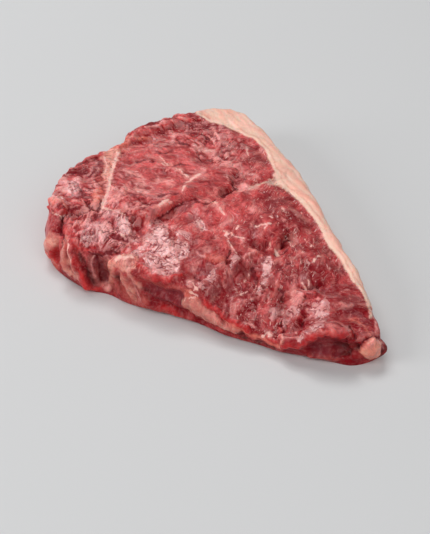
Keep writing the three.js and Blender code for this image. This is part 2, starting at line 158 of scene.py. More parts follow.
# ---- Marks along runs: kind, half width and the runs that it follows, in pixels ----
LINES = [
    # Lumps and hollows of the walls and the top; the hollows are painted deeper red as shade and the
    # lumps a little paler as light
    ("lump", 4.0, [(48, 242), (50, 248), (51, 254)], [(50, 204), (56, 206), (62, 206)],
     [(114, 263), (124, 260), (134, 260)]),
    ("hollow", 3.0, [(63, 216), (60, 226), (59, 236), (60, 246), (58, 256)],
     [(140, 281), (152, 288), (166, 292), (180, 297)],
     [(196, 320), (212, 328), (228, 336), (246, 343), (262, 348)], [(90, 204), (96, 206), (102, 203)],
     [(134, 216), (137, 226), (138, 236)], [(277, 250), (284, 242), (290, 234)],
     [(246, 274), (254, 281), (250, 290)]),
    ("lump", 2.4, [(62, 243), (63, 254), (67, 268)]),
    ("hollow", 1.2, [(66, 244), (67, 255), (71, 269)]),
    ("lump", 2.0, [(70, 240), (72, 254), (76, 270)], [(115, 272), (112, 281), (109, 289)],
     [(142, 293), (158, 296), (174, 302), (186, 306)],
     [(206, 303), (218, 311), (232, 320), (250, 330)]),
    ("lump", 3.0, [(73, 240), (78, 243), (81, 249)], [(312, 356), (326, 357), (338, 359)],
     [(148, 214), (158, 211), (170, 206)], [(156, 168), (170, 170), (182, 172)],
     [(287, 312), (284, 322)], [(296, 296), (306, 292), (316, 292)]),
    ("hollow", 2.0, [(78, 253), (82, 262), (87, 272), (93, 283)]),
    ("lump", 2.6, [(80, 268), (84, 280), (90, 289), (98, 290)],
     [(141, 267), (152, 275), (168, 279), (181, 278)], [(140, 304), (158, 311), (176, 316), (194, 321)],
     [(246, 256), (254, 254), (262, 257)]),
    ("hollow", 4.0, [(97, 256), (101, 266), (105, 277)],
     [(312, 349), (326, 345), (342, 346), (350, 350)]),
    ("hollow", 1.6, [(119, 274), (117, 282), (121, 292)],
     [(132, 290), (146, 297), (160, 303), (176, 309), (192, 314)]),
    ("lump", 1.6, [(122, 275), (127, 286), (133, 299)]),
    ("hollow", 1.4, [(128, 280), (132, 290), (139, 303)]),
    ("lump", 3.4, [(188, 301), (198, 306), (210, 315), (224, 325), (234, 330)],
     [(236, 262), (246, 264), (256, 262)]),
    ("lump", 3.2, [(284, 344), (298, 343), (308, 338), (322, 332), (336, 333), (350, 333)]),
    ("lump", 5.0, [(368, 350), (372, 347)]),
    ("hollow", 2.4, [(352, 336), (357, 345), (358, 353)], [(280, 292), (284, 300), (281, 308)],
     [(304, 288), (316, 287), (328, 288)]),
    ("hollow", 2.6, [(66, 211), (76, 214), (86, 211)], [(256, 246), (264, 248)],
     [(228, 252), (230, 262)]),
    ("hollow", 3.4, [(304, 317), (299, 326), (292, 334)]),
    # Seams of fat and folds of the far left lobes; the deep red and dark marks in the folds are painted
    # shade
    ("salmon", 6.0, [(122, 145), (113, 154), (109, 166), (106, 178), (102, 192), (98, 200)]),
    ("peach", 3.6, [(114, 152), (109, 164), (107, 176)]),
    ("orange", 3.0, [(128, 139), (120, 144), (112, 149)]),
    ("cream", 1.6, [(118, 153), (116, 160), (113, 166), (111, 174), (110, 182), (108, 190), (106, 197),
      (103, 206)]),
    ("cream", 0.9, [(104, 156), (106, 164), (105, 172)]),
    ("pink", 2.6, [(110, 178), (108, 188), (106, 198), (102, 207)]),
    ("salmon", 2.0, [(94, 183), (100, 182), (106, 184)]),
    ("pink", 1.7, [(103, 208), (96, 211), (90, 213), (86, 217), (82, 224)]),
    ("cream", 0.8, [(104, 208), (112, 209), (118, 211), (124, 213)]),
    ("pink", 1.1, [(83, 198), (84, 205), (86, 210)]),
    ("pink", 1.0, [(66, 184), (71, 181), (77, 182), (80, 187)],
     [(65, 182), (76, 179), (87, 179), (94, 180)]),
    # Orange along the top of the left wall, painted light on its lit rim
    ("orange", 2.0, [(50, 203), (56, 200), (62, 202), (66, 205)]),
    ("wine", 1.8, [(56, 190), (60, 195)]),
    ("dark", 0.9, [(64, 194), (70, 194), (74, 192)], [(110, 163), (110, 168)]),
    ("dark", 1.3, [(102, 199), (101, 205)]),
    ("dark", 2.0, [(89, 202), (91, 208)], [(87, 201), (91, 206), (95, 207)]),
    ("dark", 1.0, [(70, 211), (78, 213), (85, 211), (93, 208), (99, 206)],
     [(70, 184), (77, 182), (81, 189)]),
    ("wine", 1.6, [(50, 205), (58, 206), (70, 204)], [(84, 162), (92, 160), (99, 158)],
     [(72, 240), (81, 234), (86, 225), (90, 216)]),
    ("red", 1.6, [(48, 199), (54, 201), (60, 199)], [(66, 218), (72, 221), (77, 216)]),
    ("red", 2.0, [(50, 209), (58, 211), (66, 209)]),
    ("red", 1.8, [(63, 228), (68, 234), (74, 232)]),
    ("red", 1.4, [(78, 242), (86, 244), (94, 246)]),
    ("red", 1.2, [(118, 246), (124, 242), (129, 237)]),
    ("cream", 0.7, [(50, 196), (56, 195), (62, 197)], [(52, 212), (60, 214), (67, 212)],
     [(120, 232), (124, 236), (128, 234), (130, 228)]),
    ("pink", 0.8, [(66, 223), (72, 225), (79, 220), (84, 214)], [(83, 176), (90, 170), (97, 162)],
     [(88, 179), (94, 173), (99, 168)]),
    ("wine", 1.4, [(56, 191), (67, 192), (76, 195)], [(82, 178), (90, 180), (98, 172)],
     [(62, 222), (72, 216), (82, 212)]),
    ("mauve", 3.0, [(80, 172), (91, 174), (99, 164)]),
    ("dark", 1.2, [(103, 204), (99, 208)]),
    ("wine", 1.3, [(112, 210), (115, 204), (121, 200)]),
    ("wine", 1.5, [(127, 190), (138, 197), (148, 203), (160, 203)]),
    ("wine", 2.0, [(147, 205), (150, 211), (144, 218), (140, 228)],
     [(118, 243), (128, 238), (133, 229)]),
    ("wine", 2.4, [(92, 247), (106, 246), (116, 249)]),
    ("dark", 0.8, [(100, 226), (104, 232), (110, 232)], [(92, 230), (97, 236), (96, 241)],
     [(108, 220), (114, 224), (113, 231)]),
    # Pale pink on a ridge beside the folds, painted light
    ("pink", 1.3, [(107, 207), (120, 210), (135, 207), (146, 204)]),
    ("pink", 1.2, [(95, 184), (103, 181), (110, 178)]),
    # Far edge
    ("red", 2.4, [(134, 134), (140, 130), (143, 128)]),
    ("orange", 1.4, [(130, 137), (138, 138), (150, 138)]),
    ("pink", 1.2, [(146, 127), (156, 126), (165, 123)]),
    ("red", 2.8, [(162, 125), (172, 121), (184, 118)]),
    ("red", 2.2, [(190, 120), (198, 118), (206, 121)]),
    ("wine", 2.2, [(123, 148), (132, 144), (142, 142), (152, 141)]),
    ("wine", 1.8, [(156, 133), (165, 131), (172, 129), (180, 126)],
     [(112, 171), (119, 165), (130, 163)]),
    ("wine", 2.0, [(196, 128), (206, 127), (216, 126), (224, 126)]),
    ("mauve", 2.6, [(176, 124), (186, 123), (196, 124), (206, 125)]),
    # Far muscle
    ("blush", 3.0, [(160, 161), (168, 166), (172, 164)], [(208, 200), (216, 205), (222, 212)],
     [(126, 188), (136, 190), (146, 192)]),
    ("blush", 2.6, [(174, 168), (182, 173), (190, 178)],
     [(204, 170), (194, 177), (186, 184), (182, 190)]),
    ("blush", 2.4, [(128, 172), (136, 174), (143, 177), (144, 185)],
     [(158, 180), (165, 182), (172, 185)], [(214, 130), (219, 137), (226, 143)],
     [(216, 160), (224, 163), (232, 165), (241, 168)]),
    ("blush", 3.2, [(199, 146), (206, 150), (215, 154)]),
    ("blush", 4.0, [(240, 186), (248, 188), (256, 187)]),
    ("blush", 2.0, [(148, 156), (156, 158), (160, 161)]),
    ("pink", 0.8, [(134, 174), (140, 180), (136, 186)], [(160, 181), (166, 183), (172, 181)],
     [(199, 148), (206, 151), (214, 154)], [(150, 144), (160, 145), (172, 143)],
     [(155, 173), (158, 178), (160, 182)], [(124, 171), (134, 173), (143, 176), (144, 184)],
     [(196, 170), (202, 172), (204, 168)]),
    ("pink", 0.7, [(178, 160), (181, 167)], [(150, 183), (160, 182), (168, 184)],
     [(226, 172), (228, 180)]),
    ("pink", 0.9, [(190, 180), (197, 175), (205, 170)],
     [(214, 157), (222, 158), (227, 163), (233, 165), (240, 163), (243, 168), (241, 174)],
     [(232, 184), (235, 189)]),
    ("pink", 1.4, [(172, 141), (175, 136), (173, 132)]),
    ("dark", 0.9, [(136, 161), (146, 160)], [(156, 151), (166, 152), (172, 150)],
     [(150, 163), (156, 162)]),
    ("dark", 1.0, [(176, 137), (180, 142), (187, 143), (191, 145)],
     [(173, 165), (180, 163), (188, 165)], [(234, 166), (238, 170), (237, 176)]),
    ("dark", 1.2, [(202, 134), (209, 139), (214, 146)], [(198, 150), (200, 156), (203, 160)],
     [(136, 200), (142, 201), (149, 203)]),
    ("dark", 0.8, [(178, 192), (168, 193), (158, 195)]),
    ("wine", 1.2, [(221, 149), (226, 158)]),
    ("wine", 1.0, [(229, 148), (231, 155), (236, 160)]),
    ("cream", 0.7, [(160, 156), (164, 161), (170, 167)], [(176, 170), (182, 173), (189, 177)],
     [(205, 150), (214, 152)]),
    ("cream", 0.8, [(158, 165), (164, 167), (171, 166)], [(246, 147), (248, 155)]),
    ("cream", 1.0, [(200, 174), (194, 178), (188, 181), (184, 186), (182, 191)]),
    ("pink", 1.2, [(213, 128), (217, 134), (222, 141)], [(196, 146), (204, 148), (212, 152)]),
    ("pink", 1.0, [(207, 135), (214, 140), (217, 147)], [(248, 173), (254, 175), (259, 178)]),
    # Far edge of the front muscle and the seam that goes on from it, with painted shade in the groove
    ("dip", 3.0, [(222, 194), (230, 191), (236, 184), (235, 176)]),
    ("dark", 1.5, [(232, 178), (234, 184), (237, 189), (228, 192), (220, 195)]),
    ("pink", 1.3, [(238, 190), (246, 190), (256, 188)]),
    ("suet", 1.0, [(250, 188), (258, 185), (266, 183)]),
    ("suet", 1.4, [(362, 291), (366, 299), (369, 307), (372, 315)]),
    ("pink", 0.9, [(371, 312), (374, 319), (376, 327), (378, 333)]),
    ("wine", 1.0, [(248, 186), (256, 184), (262, 180)]),
    ("dark", 1.4, [(155, 220), (162, 217), (170, 211), (176, 207), (183, 203)]),
    ("dark", 1.0, [(183, 202), (192, 200), (203, 203)]),
    ("dark", 1.2, [(203, 203), (212, 201), (218, 198)]),
    ("red", 3.2, [(150, 217), (158, 215), (166, 211), (173, 206)]),
    ("orange", 1.6, [(154, 209), (162, 207), (170, 203)]),
    ("cream", 1.8, [(160, 205), (164, 202), (168, 200)]),
    ("cream", 0.8, [(164, 203), (170, 204), (173, 202)]),
    ("red", 1.8, [(134, 210), (140, 216), (147, 214), (151, 208)]),
    # Front muscle, with painted shade in its creases, dips and troughs
    ("pink", 0.8, [(204, 229), (214, 229), (224, 231)], [(240, 239), (244, 246)],
     [(244, 301), (252, 299), (260, 295)]),
    ("cream", 0.8, [(223, 231), (228, 233), (235, 236), (243, 240)], [(266, 225), (265, 230)],
     [(196, 222), (199, 226), (204, 228)], [(270, 242), (269, 246)], [(290, 240), (290, 246)],
     [(291, 248), (294, 247)], [(252, 288), (256, 284)]),
    ("cream", 0.7, [(226, 232), (229, 240), (233, 248), (237, 254)],
     [(219, 208), (222, 210), (223, 214)], [(262, 216), (263, 218)],
     [(281, 208), (283, 210), (286, 213)], [(305, 238), (307, 243), (311, 246)],
     [(241, 295), (246, 291)], [(313, 262), (316, 258), (320, 256)], [(308, 279), (309, 284)]),
    ("orange", 0.7, [(250, 249), (256, 254), (262, 258)]),
    ("cream", 0.9, [(257, 226), (263, 225), (270, 223)], [(211, 201), (216, 204)],
     [(269, 216), (271, 218)]),
    ("cream", 1.3, [(238, 226), (237, 229)], [(276, 249), (279, 254)]),
    ("pink", 1.6, [(198, 254), (203, 257)]),
    ("cream", 0.6, [(200, 219), (203, 223)], [(243, 283), (247, 278), (250, 273)]),
    ("pink", 0.7, [(295, 226), (296, 230)], [(303, 252), (306, 254)],
     [(340, 294), (345, 291), (350, 289)]),
    # Pale pink along a ridge, a painted highlight
    ("pink", 1.2, [(244, 259), (249, 254), (256, 253)]),
    ("cream", 1.1, [(302, 282), (305, 286)]),
    ("pink", 1.0, [(333, 305), (342, 304), (352, 306)], [(292, 289), (300, 288), (306, 290)]),
    ("dark", 1.6, [(230, 249), (228, 257), (227, 264)], [(276, 253), (282, 253), (287, 249)],
     [(303, 320), (300, 327)]),
    ("dark", 0.8, [(203, 238), (210, 239), (216, 236)]),
    ("wine", 1.2, [(207, 262), (214, 263), (224, 262)]),
    ("mauve", 3.2, [(192, 269), (200, 268), (205, 273)]),
    ("dark", 1.2, [(196, 277), (200, 280)], [(281, 322), (282, 332)]),
    ("dark", 1.8, [(252, 270), (256, 278), (253, 284)], [(281, 288), (284, 294), (283, 300)]),
    ("dip", 3.0, [(288, 232), (290, 238), (284, 243)]),
    ("dark", 1.4, [(288, 233), (290, 238), (284, 243)], [(285, 264), (291, 263)],
     [(303, 287), (312, 287), (320, 286)], [(350, 326), (353, 333), (356, 339)]),
    ("dip", 4.5, [(254, 245), (262, 248), (268, 247)]),
    ("wine", 3.0, [(301, 319), (298, 327), (292, 333)]),
    ("wine", 2.2, [(306, 315), (307, 322), (302, 327)]),
    ("wine", 2.6, [(214, 298), (224, 302), (232, 308)]),
    ("dark", 1.0, [(286, 336), (294, 335), (300, 331)]),
    ("orange", 0.9, [(350, 319), (358, 321), (364, 326), (370, 333), (374, 337)]),
    # Front wall, with painted shade under its overhangs and in its recesses
    ("dark", 2.0, [(63, 214), (60, 225), (60, 236), (61, 246)]),
    ("salmon", 2.0, [(50, 258), (54, 263), (58, 268)]),
    ("wine", 1.6, [(57, 250), (56, 256), (60, 263)]),
    ("beige", 2.4, [(61, 241), (62, 250), (65, 262), (70, 274)]),
    ("beige", 2.2, [(67, 238), (68, 250), (71, 262), (77, 277)],
     [(114, 269), (112, 278), (111, 287), (107, 291)], [(128, 273), (133, 281), (139, 287)]),
    ("cream", 0.7, [(70, 240), (70, 252), (73, 266)]),
    ("wine", 1.3, [(62, 258), (65, 266), (68, 273)]),
    ("brown", 2.0, [(77, 252), (81, 257), (84, 263)], [(86, 268), (90, 278), (95, 284)],
     [(226, 331), (245, 339), (262, 344), (274, 349)]),
    ("red", 2.4, [(75, 258), (79, 268), (82, 276), (86, 285), (92, 290)],
     [(206, 303), (216, 311), (226, 317), (238, 325), (250, 331)]),
    ("red", 1.8, [(88, 290), (96, 290), (103, 288)]),
    ("mauve", 2.2, [(95, 252), (96, 262), (92, 270)]),
    ("mauve", 3.0, [(98, 263), (103, 272), (106, 280)]),
    ("dark", 1.0, [(96, 258), (99, 268), (101, 280)]),
    ("pink", 0.6, [(93, 256), (92, 266), (95, 276)]),
    ("wine", 2.4, [(84, 248), (94, 247), (104, 249), (114, 246), (124, 240), (130, 234)],
     [(372, 318), (374, 326), (376, 334)]),
    ("dark", 1.8, [(88, 253), (98, 257), (108, 253), (120, 250)]),
    ("cream", 1.5, [(118, 260), (126, 261), (133, 260)], [(190, 292), (194, 294), (197, 296)]),
    ("orange", 1.5, [(111, 261), (113, 267)], [(187, 293), (190, 297), (196, 299)]),
    ("red", 1.4, [(131, 271), (137, 266), (142, 260)]),
    ("beige", 1.5, [(119, 270), (123, 279), (129, 289), (136, 301)]),
    ("pink", 0.9, [(131, 284), (136, 293), (140, 301)]),
    ("brown", 1.4, [(115, 277), (118, 282)]),
    ("rust", 2.2, [(115, 285), (122, 293), (130, 301)]),
    ("red", 2.6, [(141, 268), (147, 273), (158, 278), (170, 279), (180, 276)],
     [(284, 345), (298, 345), (306, 340), (314, 335), (322, 332), (332, 333), (342, 336), (350, 334)]),
    ("rust", 3.0, [(140, 278), (152, 282), (168, 286), (184, 290)]),
    ("brown", 0.9, [(134, 287), (145, 289), (152, 295), (162, 300), (175, 306), (190, 310)]),
    ("rust", 2.6, [(124, 298), (135, 303), (150, 309), (170, 315), (190, 320)]),
    ("red", 1.5, [(162, 308), (172, 310), (180, 316)]),
    ("cream", 1.0, [(184, 302), (188, 298), (195, 298)]),
    # Orange along the front right rim, painted light on the lit rim
    ("orange", 1.8, [(228, 321), (240, 329), (252, 334), (262, 337)],
     [(262, 335), (268, 341), (274, 345), (280, 346)]),
    ("red", 1.6, [(268, 336), (275, 341)]),
    ("cream", 1.2, [(263, 334), (268, 332), (272, 336)]),
    ("peach", 1.4, [(282, 336), (283, 341), (281, 346)]),
    ("pink", 1.2, [(286, 337), (295, 337), (304, 336)]),
    ("brown", 2.2, [(338, 347), (345, 348), (350, 344)]),
    ("brown", 2.6, [(340, 354), (350, 353), (356, 349)]),
    ("dark", 1.6, [(347, 337), (346, 344)]),
    ("mauve", 2.0, [(376, 338), (382, 346), (386, 350)]),
    ("rust", 2.4, [(311, 357), (325, 358), (338, 359)]),
    ("rust", 2.0, [(198, 316), (210, 324), (224, 331), (236, 335)]),
    ("brown", 2.4, [(387, 344), (385, 350), (380, 357)]),
    ("dark", 1.2, [(358, 350), (362, 344), (367, 338), (373, 335), (379, 337)]),
    ("wine", 2.0, [(350, 322), (356, 328), (362, 335), (364, 341)]),
    ("pink", 0.8, [(366, 346), (372, 341), (377, 343)]),
]

# ---- Marks with an outline: kind and outlines, in pixels ----
AREAS = [
    # The fat that runs from the cap into the seam, and down the right edge
    ("suet", [(258, 185), (266, 181), (273, 179), (275, 170), (284, 186), (290, 194), (280, 188),
      (270, 184)]),
    # Lobes painted paler, partly as a sheen of reflected light, deep red painted shade in the gaps
    # between them and in the groove, and small patches of the top
    ("haze", [(64, 182), (72, 179), (80, 181), (83, 190), (80, 197), (70, 196), (64, 190)],
     [(84, 222), (94, 219), (104, 220), (110, 228), (108, 238), (96, 243), (86, 240), (82, 231)],
     [(114, 218), (122, 215), (130, 220), (132, 232), (128, 241), (119, 238), (114, 228)],
     [(92, 212), (104, 209), (114, 212), (112, 217), (98, 217)]),
    ("wine", [(132, 211), (138, 211), (141, 217), (139, 224), (134, 221)],
     [(70, 232), (75, 226), (80, 221), (81, 226), (76, 233), (72, 240)]),
    ("peach", [(103, 152), (112, 148), (120, 149), (121, 156), (117, 162), (112, 168), (111, 180),
      (105, 181), (102, 174), (104, 164), (101, 157)]),
    ("pink", [(110, 187), (117, 187), (124, 190), (123, 197), (117, 201), (110, 204), (106, 200),
      (108, 193)], [(240, 183), (246, 182), (250, 187), (243, 191)],
     [(342, 325), (350, 327), (352, 332), (346, 333), (343, 330)]),
    ("orange", [(96, 187), (102, 188), (104, 194), (101, 201), (97, 204), (93, 199), (92, 193)]),
    ("mauve", [(172, 210), (180, 204), (190, 200), (197, 202), (192, 208), (184, 212), (176, 213)],
     [(340, 307), (350, 307), (360, 312), (369, 319), (373, 327), (366, 325), (358, 318), (348, 314)]),
    ("sheen", [(194, 224), (199, 217), (204, 223), (207, 229), (201, 231), (197, 227)]),
    ("salmon", [(203, 255), (214, 254), (226, 256), (228, 261), (215, 262), (205, 260)]),
    # Wet patches with a film on them, painted paler as a sheen of reflected light
    ("sheen", [(150, 221), (160, 220), (167, 224), (169, 233), (166, 240), (173, 241), (181, 238),
      (188, 242), (190, 250), (188, 258), (180, 260), (179, 267), (177, 273), (169, 276), (158, 275),
      (150, 271), (145, 266), (144, 260), (147, 256), (140, 256), (132, 255), (130, 251), (137, 248),
      (142, 246), (143, 239), (147, 232)],
     [(176, 232), (184, 230), (191, 233), (190, 240), (183, 236), (177, 235)],
     [(209, 270), (217, 270), (215, 279), (209, 287), (203, 289), (198, 286), (200, 281), (207, 278)],
     [(265, 258), (270, 256), (273, 262), (270, 268), (271, 275), (266, 281), (262, 286), (263, 292),
      (259, 297), (258, 289), (261, 281), (262, 272), (264, 265)],
     [(292, 305), (298, 306), (299, 312), (293, 317), (288, 324), (284, 329), (282, 323), (285, 316)],
     [(313, 306), (319, 303), (324, 297), (328, 303), (331, 308), (328, 315), (322, 318), (316, 320),
      (313, 317), (318, 312), (313, 311)], [(310, 322), (318, 317), (326, 320), (322, 327), (314, 331),
      (306, 333), (300, 340), (296, 338), (303, 332)],
     [(118, 217), (126, 216), (131, 224), (134, 236), (137, 240), (131, 243), (126, 234), (120, 228)],
     [(82, 238), (88, 234), (93, 238), (92, 245), (86, 247), (81, 243)],
     [(68, 185), (73, 183), (79, 186), (79, 191), (73, 192), (68, 191)],
     [(232, 257), (240, 255), (237, 260), (234, 266), (230, 270), (231, 263)],
     [(271, 306), (276, 307), (277, 314), (273, 322), (270, 320), (272, 313)]),
    ("pink", [(291, 290), (298, 290), (303, 294), (301, 301), (294, 305), (290, 300)]),
    # Front wall, with painted shade in the deep red under the left lobe and beside the nub
    ("wine", [(49, 209), (55, 211), (62, 212), (69, 208), (67, 214), (61, 219), (60, 232), (54, 231),
      (49, 222)], [(352, 342), (358, 340), (366, 335), (372, 334), (368, 342), (362, 348), (355, 350)]),
    ("beige", [(49, 231), (55, 232), (58, 240), (57, 248), (54, 242), (48, 240)],
     [(184, 300), (188, 297), (196, 299), (203, 303), (210, 309), (218, 316), (228, 323), (240, 331),
      (236, 334), (224, 331), (208, 324), (196, 316), (187, 309)]),
    ("peach", [(44, 243), (49, 239), (55, 240), (57, 245), (52, 248), (46, 251)],
     [(111, 260), (117, 257), (124, 256), (132, 256), (138, 255), (140, 261), (135, 268), (130, 272),
      (124, 271), (118, 267), (113, 268), (110, 264)]),
    ("salmon", [(46, 252), (51, 252), (54, 260), (59, 266), (55, 268), (49, 262)]),
    ("red", [(51, 250), (57, 248), (58, 256), (60, 264), (55, 264), (51, 257)],
     [(72, 238), (78, 236), (84, 243), (88, 252), (80, 250), (76, 256), (73, 248)]),
    ("taupe", [(88, 256), (96, 252), (108, 254), (112, 262), (110, 272), (108, 284), (98, 288),
      (92, 280), (87, 266)]),
    ("rust", [(114, 272), (124, 274), (132, 280), (142, 292), (150, 303), (140, 306), (126, 300),
      (114, 292)]),
    ("pink", [(102, 284), (109, 282), (112, 289), (109, 293), (104, 290)],
     [(186, 283), (189, 280), (193, 282), (192, 287), (188, 287)],
     [(243, 322), (253, 320), (256, 328), (250, 327)]),
    ("mauve", [(143, 287), (152, 284), (165, 288), (178, 292), (190, 298), (188, 306), (172, 305),
      (160, 301), (150, 295)], [(306, 345), (314, 338), (322, 336), (332, 340), (344, 340), (346, 350),
      (340, 358), (325, 360), (312, 356)]),
    ("cream", [(193, 284), (197, 285), (198, 290), (194, 290)]),
    ("orange", [(186, 289), (191, 289), (193, 294), (188, 296)]),
    # The nub, painted paler as light on it
    ("nub", [(360, 353), (362, 348), (366, 343), (370, 339), (375, 339), (379, 342), (381, 347),
      (379, 353), (375, 357), (369, 359), (363, 358)]),
]


# ---- Patterns ----
SLOTS = 256  # random values that a pattern draws on
SHIFT = 100  # cells, which keeps every place above 0
NOISE_GAIN = 1.7


def slots_of(shuffled, cells):
    """The random slot of each cell."""
    slot = np.zeros(len(cells), int)
    for axis in range(3):
        slot = shuffled[(slot + cells[:, axis]) % SLOTS]
    return slot


def noise(places, wavelength, seed):
    """Smooth random values, mostly between -1 and 1, that change over the wavelength."""
    rng = np.random.default_rng(seed)
    shuffled = rng.permutation(SLOTS)
    slopes = rng.normal(size=(SLOTS, 3))
    slopes /= np.linalg.norm(slopes, axis=1, keepdims=True)
    place = places / wavelength + SHIFT
    cell = np.floor(place).astype(int)
    part = place - cell
    fade = part ** 3 * (part * (part * 6 - 15) + 10)
    total = np.zeros(len(places))
    for corner in np.ndindex(2, 2, 2):
        value = ((part - corner) * slopes[slots_of(shuffled, cell + corner)]).sum(1)
        total += value * np.where(corner, fade, 1 - fade).prod(1)
    return total * NOISE_GAIN


def cell_edges(places, size, seed):
    """How far each point is inside the edge of its random cell, in cells."""
    rng = np.random.default_rng(seed)
    shuffled = rng.permutation(SLOTS)
    middles = rng.random((SLOTS, 3))
    place = places / size + SHIFT
    cell = np.floor(place).astype(int)
    first = np.full(len(places), np.inf)
    second = first.copy()
    for offset in np.ndindex(3, 3, 3):
        corner = cell + np.array(offset) - 1
        apart = np.linalg.norm(corner + middles[slots_of(shuffled, corner)] - place, axis=1)
        second = np.minimum(second, np.maximum(first, apart))
        first = np.minimum(first, apart)
    return second - first


def smooth(low, high, values):
    """0 at low and beyond it, 1 at high and beyond it, and smooth between."""
    share = np.clip((values - low) / (high - low), 0, 1)
    return share * share * (3 - 2 * share)


def warped(places, amount, wavelength, seed):
    """The places, moved about at random."""
    moves = [noise(places, wavelength, seed + axis) for axis in range(3)]
    return places + amount * np.stack(moves, 1)


def stretched(places, direction, ratio):
    """The places, drawn together along the direction, so that a pattern is drawn out along it."""
    along = np.array((*direction, 0), float)
    along /= np.linalg.norm(along)
    return places - np.outer(places @ along, along) * (1 - 1 / ratio)


def distance_to(places, run):
    """Each place's distance to the run."""
    nearest = np.full(len(places), np.inf)
    run = np.array(run, float)
    for start, end in zip(run[:-1], run[1:]):
        side = end - start
        share = np.clip((places - start) @ side / (side @ side), 0, 1)
        nearest = np.minimum(nearest, np.linalg.norm(places - start - share[:, None] * side, axis=1))
    return nearest


def depth_inside(places, outline):
    """How far each place is inside the closed outline, and less than 0 outside it."""
    closed = [*outline, outline[0]]
    crossings = np.zeros(len(places), int)
    for (x0, y0), (x1, y1) in zip(closed[:-1], closed[1:]):
        spans = (y0 > places[:, 1]) != (y1 > places[:, 1])
        crossing = x0 + (places[:, 1] - y0) * (x1 - x0) / ((y1 - y0) or 1)
        crossings += spans & (places[:, 0] < crossing)
    return np.where(crossings % 2, 1, -1) * distance_to(places, closed)


def linear(colour):
    """A screen colour as the light it stands for."""
    share = np.array(colour, float) / 255
    return np.where(share <= 0.04045, share / 12.92, ((share + 0.055) / 1.055) ** 2.4)


def blended(base, colour, share):
    """The base colours, moved towards the screen colour by the share."""
    return base + (linear(colour) - base) * np.clip(share, 0, 1)[:, None]


# ---- The fine skin ----
TOUCHING = 1e-6  # metres
DIVISIONS = 2  # times that every face is divided


def on_floor(item):
    """Whether an edge or a face lies on the floor."""
    return all(vertex.co.z < TOUCHING for vertex in item.verts)


def base_mesh(node):
    """A copy of the node's skin, with one flat face below and a sharp edge round it."""
    mesh = bpy.data.meshes.new("raw_steak")
    work = bmesh.new()
    work.from_mesh(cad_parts[node].data)
    bmesh.ops.remove_doubles(work, verts=work.verts, dist=TOUCHING)
    bmesh.ops.dissolve_faces(work, faces=[face for face in work.faces if on_floor(face)])
    crease = work.edges.layers.float.new("crease_edge")
    for edge in work.edges:
        edge[crease] = float(on_floor(edge))
    for face in work.faces:
        face.smooth = True
    work.to_mesh(mesh)
    work.free()
    return mesh


def fine_skin(node):
    """The node's skin, divided finely enough for the relief."""
    skin = bpy.data.objects.new("raw_steak", base_mesh(node))
    bpy.context.scene.collection.objects.link(skin)
    finer = skin.modifiers.new("finer", "SUBSURF")
    finer.levels = finer.render_levels = DIVISIONS
    bpy.context.view_layer.update()
    done = bpy.data.meshes.new_from_object(skin.evaluated_get(bpy.context.evaluated_depsgraph_get()))
    skin.modifiers.clear()
    skin.data = done
    return skin


def vectors(layer, name):
    """The three numbers of every item of a mesh layer."""
    values = np.zeros(len(layer) * 3, np.float32)
    layer.foreach_get(name, values)
    return values.reshape(-1, 3).astype(float)


skin = fine_skin("steak")
mesh = skin.data
points = vectors(mesh.vertices, "co") / MM
normals = vectors(mesh.vertex_normals, "vector")
up = smooth(0.2, 0.7, normals[:, 2])


# ---- The photograph's view of it ----
def view_axes():
    """The camera's right, ahead and up."""
    turn, down = math.radians(CAMERA_TURN), math.radians(CAMERA_DOWN)
    right = np.array([math.cos(turn), math.sin(turn), 0])
    level = math.cos(down)
    ahead = np.array([-math.sin(turn) * level, math.cos(turn) * level, -math.sin(down)])
    return right, ahead, np.cross(right, ahead)


def pixels_of(places):
    """Where the photograph shows each place."""
    right, ahead, above = view_axes()
    apart = places - CAMERA_PLACE
    scale = CAMERA_LENS / CAMERA_SENSOR * max(PICTURE) / (apart @ ahead)
    across = PICTURE[0] / 2 + scale * (apart @ right)
    down = PICTURE[1] / 2 - scale * (apart @ above)
    return np.stack([across, down], 1)


def facing_camera():
    """1 where the skin faces the camera and 0 where it faces away."""
    toward = CAMERA_PLACE - points
    toward /= np.linalg.norm(toward, axis=1, keepdims=True)
    return smooth(0.05, 0.3, (toward * normals).sum(1))


pixels = pixels_of(points)
shown = facing_camera()


# ---- Regions ----
SEEN = 0.5  # share from which a point counts as shown
MUSCLE_SHIFT = 37  # millimetres that each muscle's pattern is moved on, so that no two are alike
MARK_MARGIN = 6  # pixels round a mark where its edge may still show
WALL_ROPES = 0.25  # how folded the side walls are


def fat_inside():
    """How far each point is inside the cap of fat, in millimetres, and less than 0 in the meat."""
    visible = np.flatnonzero(shown > SEEN)
    nearest = [visible[np.argmin(((pixels[visible] - pixel) ** 2).sum(1))] for pixel in FAT_EDGE]
    edge = points[nearest, :2]
    right, ahead = (axis[:2] for axis in view_axes()[:2])
    behind = edge[0] + FAT_BEHIND * ahead
    beside = edge[-1] + FAT_BESIDE * right + FAT_PAST * ahead
    outline = [*edge, beside, beside + FAT_REACH * ahead, behind + FAT_REACH * ahead, behind]
    wander = warped(points, 0.5, 6, 17) + (1 - shown)[:, None] * (warped(points, 2.0, 9, 18) - points)
    return depth_inside(wander[:, :2], outline)


def grain_places(more=1.0):
    """Each point moved so that a pattern is drawn out along the grain of its muscle."""
    curly = warped(points, 1.6, 9, 21)
    places = curly.copy()
    for number, (outline, direction, ratio) in enumerate(MUSCLES):
        chosen = depth_inside(pixels, outline) > 0
        places[chosen] = stretched(curly[chosen], direction, ratio * more) + MUSCLE_SHIFT * number
    return places


def patch_values():
    """The values of PATCHES at every point."""
    rows = np.array(PATCHES, float)
    apart = np.linalg.norm(pixels[:, None] - rows[None, :, :2], axis=2)
    weight = 1 / (apart ** 2 + PATCH_REACH ** 2) ** 2
    return (weight @ rows[:, 2:] / weight.sum(1, keepdims=True)).T


